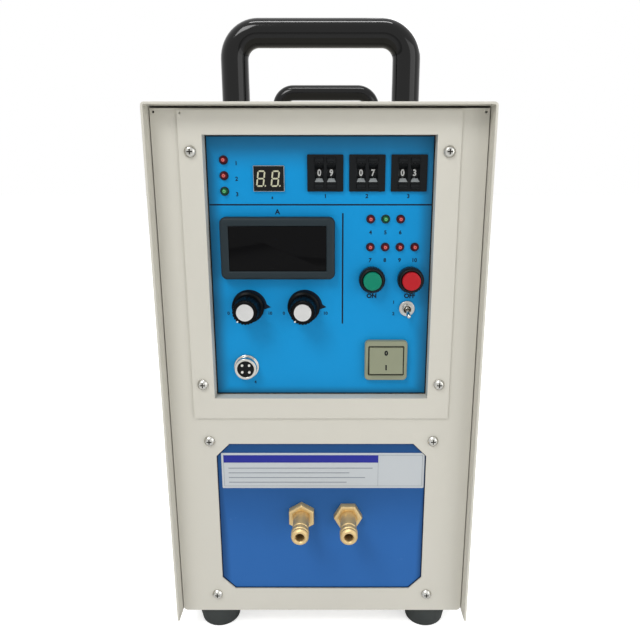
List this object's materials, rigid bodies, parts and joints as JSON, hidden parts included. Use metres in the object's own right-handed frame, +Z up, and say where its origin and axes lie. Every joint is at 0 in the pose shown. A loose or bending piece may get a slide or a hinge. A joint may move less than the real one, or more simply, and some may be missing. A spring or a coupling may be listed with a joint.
{
  "type": "induction heating machine",
  "caption": "Water-cooled induction heater: tall sheet-metal cabinet with a recessed blue control panel, brass output connectors, carrying handles and rubber feet.",
  "frame": {"origin": "on the floor, under the middle of the cabinet", "axes": "the front with the controls looks along -Y, +X is to the right seen from the front, +Z is up"},
  "size_m": [0.2302, 0.515, 0.462],
  "materials": {
    "cabinet_paint": "satin powder coat",
    "panel_blue": "satin print",
    "board_blue": "satin",
    "handle_black": "glossy",
    "foot_rubber": "matte",
    "plated_steel": "plated",
    "display_black": "glossy",
    "meter_slate": "satin",
    "meter_glass": "glossy",
    "red_lens": "glossy",
    "green_lens": "glossy",
    "timer_black": "satin",
    "wheel_black": "matte",
    "key_grey": "satin",
    "knob_black": "glossy",
    "spun_aluminium": "spun",
    "start_green": "satin",
    "stop_red": "satin",
    "bezel_black": "satin",
    "bright_metal": "bright",
    "switch_grey": "satin",
    "brass": "turned",
    "ferrite": "matte",
    "copper": "drawn",
    "sink_aluminium": "extruded",
    "module_black": "matte",
    "capacitor_blue": "sleeved",
    "circuit_green": "lacquered",
    "fan_black": "matte",
    "fan_grey": "matte",
    "hose_blue": "satin",
    "gland_grey": "matte"
  },
  "bodies": {
    "cabinet": {"cover": "cabinet_paint", "chassis": "cabinet_paint", "rear_panel": "cabinet_paint", "panel_frame": "cabinet_paint", "control_panel": "panel_blue", "insulating_board": "board_blue", "front_handle": "handle_black", "rear_handle": "handle_black", "feet": "foot_rubber", "mounting_bolts": "plated_steel", "case_screws": "plated_steel", "time_display": "display_black", "current_meter": "meter_slate", "meter_window": "meter_glass", "red_lamps": "red_lens", "green_lamps": "green_lens", "timer_housings": "timer_black", "potentiometers": "plated_steel", "button_bezels": "bezel_black", "toggle_switch": "plated_steel", "power_switch_frame": "switch_grey", "remote_socket": "bright_metal", "output_connectors": "brass", "output_transformer": "ferrite", "transformer_windings": "copper", "heat_sink": "sink_aluminium", "power_modules": "module_black", "capacitor_bank": "capacitor_blue", "control_board": "circuit_green", "fan_frame": "fan_black", "water_fittings": "brass", "cooling_hoses": "hose_blue", "cable_gland": "gland_grey"},
    "heating_tens_wheel": {"heating_tens_wheel": "wheel_black"},
    "heating_tens_up_key": {"heating_tens_up_key": "key_grey"},
    "heating_tens_down_key": {"heating_tens_down_key": "key_grey"},
    "heating_units_wheel": {"heating_units_wheel": "wheel_black"},
    "heating_units_up_key": {"heating_units_up_key": "key_grey"},
    "heating_units_down_key": {"heating_units_down_key": "key_grey"},
    "retaining_tens_wheel": {"retaining_tens_wheel": "wheel_black"},
    "retaining_tens_up_key": {"retaining_tens_up_key": "key_grey"},
    "retaining_tens_down_key": {"retaining_tens_down_key": "key_grey"},
    "retaining_units_wheel": {"retaining_units_wheel": "wheel_black"},
    "retaining_units_up_key": {"retaining_units_up_key": "key_grey"},
    "retaining_units_down_key": {"retaining_units_down_key": "key_grey"},
    "cooling_tens_wheel": {"cooling_tens_wheel": "wheel_black"},
    "cooling_tens_up_key": {"cooling_tens_up_key": "key_grey"},
    "cooling_tens_down_key": {"cooling_tens_down_key": "key_grey"},
    "cooling_units_wheel": {"cooling_units_wheel": "wheel_black"},
    "cooling_units_up_key": {"cooling_units_up_key": "key_grey"},
    "cooling_units_down_key": {"cooling_units_down_key": "key_grey"},
    "heat_knob": {"heat_knob": "knob_black", "heat_knob_cap": "spun_aluminium"},
    "retain_knob": {"retain_knob": "knob_black", "retain_knob_cap": "spun_aluminium"},
    "start_button": {"start_button": "start_green"},
    "stop_button": {"stop_button": "stop_red"},
    "toggle_lever": {"toggle_lever": "bright_metal"},
    "power_rocker": {"power_rocker": "switch_grey"},
    "fan_rotor": {"fan_rotor": "fan_grey"}
  },
  "joints": [
    {"name": "heating_tens_turn", "type": "hinge", "parent": "cabinet", "child": "heating_tens_wheel", "pos_m": [-0.0007, -0.2082, 0.3599], "axis": [1, 0, 0], "continuous": true},
    {"name": "heating_tens_up_press", "type": "slide", "parent": "cabinet", "child": "heating_tens_up_key", "axis": [0, 1, 0], "range_m": [0, 0.001], "stiffness_N_per_m": 500, "springref_m": -0.001},
    {"name": "heating_tens_down_press", "type": "slide", "parent": "cabinet", "child": "heating_tens_down_key", "axis": [0, 1, 0], "range_m": [0, 0.001], "stiffness_N_per_m": 500, "springref_m": -0.001},
    {"name": "heating_units_turn", "type": "hinge", "parent": "cabinet", "child": "heating_units_wheel", "pos_m": [0.0075, -0.2082, 0.3599], "axis": [1, 0, 0], "continuous": true},
    {"name": "heating_units_up_press", "type": "slide", "parent": "cabinet", "child": "heating_units_up_key", "axis": [0, 1, 0], "range_m": [0, 0.001], "stiffness_N_per_m": 500, "springref_m": -0.001},
    {"name": "heating_units_down_press", "type": "slide", "parent": "cabinet", "child": "heating_units_down_key", "axis": [0, 1, 0], "range_m": [0, 0.001], "stiffness_N_per_m": 500, "springref_m": -0.001},
    {"name": "retaining_tens_turn", "type": "hinge", "parent": "cabinet", "child": "retaining_tens_wheel", "pos_m": [0.0276, -0.2082, 0.3599], "axis": [1, 0, 0], "continuous": true},
    {"name": "retaining_tens_up_press", "type": "slide", "parent": "cabinet", "child": "retaining_tens_up_key", "axis": [0, 1, 0], "range_m": [0, 0.001], "stiffness_N_per_m": 500, "springref_m": -0.001},
    {"name": "retaining_tens_down_press", "type": "slide", "parent": "cabinet", "child": "retaining_tens_down_key", "axis": [0, 1, 0], "range_m": [0, 0.001], "stiffness_N_per_m": 500, "springref_m": -0.001},
    {"name": "retaining_units_turn", "type": "hinge", "parent": "cabinet", "child": "retaining_units_wheel", "pos_m": [0.0358, -0.2082, 0.3599], "axis": [1, 0, 0], "continuous": true},
    {"name": "retaining_units_up_press", "type": "slide", "parent": "cabinet", "child": "retaining_units_up_key", "axis": [0, 1, 0], "range_m": [0, 0.001], "stiffness_N_per_m": 500, "springref_m": -0.001},
    {"name": "retaining_units_down_press", "type": "slide", "parent": "cabinet", "child": "retaining_units_down_key", "axis": [0, 1, 0], "range_m": [0, 0.001], "stiffness_N_per_m": 500, "springref_m": -0.001},
    {"name": "cooling_tens_turn", "type": "hinge", "parent": "cabinet", "child": "cooling_tens_wheel", "pos_m": [0.0559, -0.2082, 0.3599], "axis": [1, 0, 0], "continuous": true},
    {"name": "cooling_tens_up_press", "type": "slide", "parent": "cabinet", "child": "cooling_tens_up_key", "axis": [0, 1, 0], "range_m": [0, 0.001], "stiffness_N_per_m": 500, "springref_m": -0.001},
    {"name": "cooling_tens_down_press", "type": "slide", "parent": "cabinet", "child": "cooling_tens_down_key", "axis": [0, 1, 0], "range_m": [0, 0.001], "stiffness_N_per_m": 500, "springref_m": -0.001},
    {"name": "cooling_units_turn", "type": "hinge", "parent": "cabinet", "child": "cooling_units_wheel", "pos_m": [0.0641, -0.2082, 0.3599], "axis": [1, 0, 0], "continuous": true},
    {"name": "cooling_units_up_press", "type": "slide", "parent": "cabinet", "child": "cooling_units_up_key", "axis": [0, 1, 0], "range_m": [0, 0.001], "stiffness_N_per_m": 500, "springref_m": -0.001},
    {"name": "cooling_units_down_press", "type": "slide", "parent": "cabinet", "child": "cooling_units_down_key", "axis": [0, 1, 0], "range_m": [0, 0.001], "stiffness_N_per_m": 500, "springref_m": -0.001},
    {"name": "heat_knob_turn", "type": "hinge", "parent": "cabinet", "child": "heat_knob", "pos_m": [-0.0518, -0.219, 0.2671], "axis": [0, 1, 0], "range_deg": [0, 280]},
    {"name": "retain_knob_turn", "type": "hinge", "parent": "cabinet", "child": "retain_knob", "pos_m": [-0.0122, -0.219, 0.2671], "axis": [0, 1, 0], "range_deg": [0, 280]},
    {"name": "start_button_press", "type": "slide", "parent": "cabinet", "child": "start_button", "axis": [0, 1, 0], "range_m": [0, 0.0025], "stiffness_N_per_m": 400, "springref_m": -0.0025},
    {"name": "stop_button_press", "type": "slide", "parent": "cabinet", "child": "stop_button", "axis": [0, 1, 0], "range_m": [0, 0.0025], "stiffness_N_per_m": 400, "springref_m": -0.0025},
    {"name": "toggle_flip", "type": "hinge", "parent": "cabinet", "child": "toggle_lever", "pos_m": [0.0612, -0.221, 0.2661], "axis": [-1, 0, 0], "range_deg": [0, 26]},
    {"name": "rocker_rock", "type": "hinge", "parent": "cabinet", "child": "power_rocker", "pos_m": [0.047, -0.221, 0.2278], "axis": [1, 0, 0], "range_deg": [0, 13]},
    {"name": "fan_spin", "type": "hinge", "parent": "cabinet", "child": "fan_rotor", "pos_m": [0, 0.2, 0.31], "axis": [0, 1, 0], "continuous": true}
  ]
}
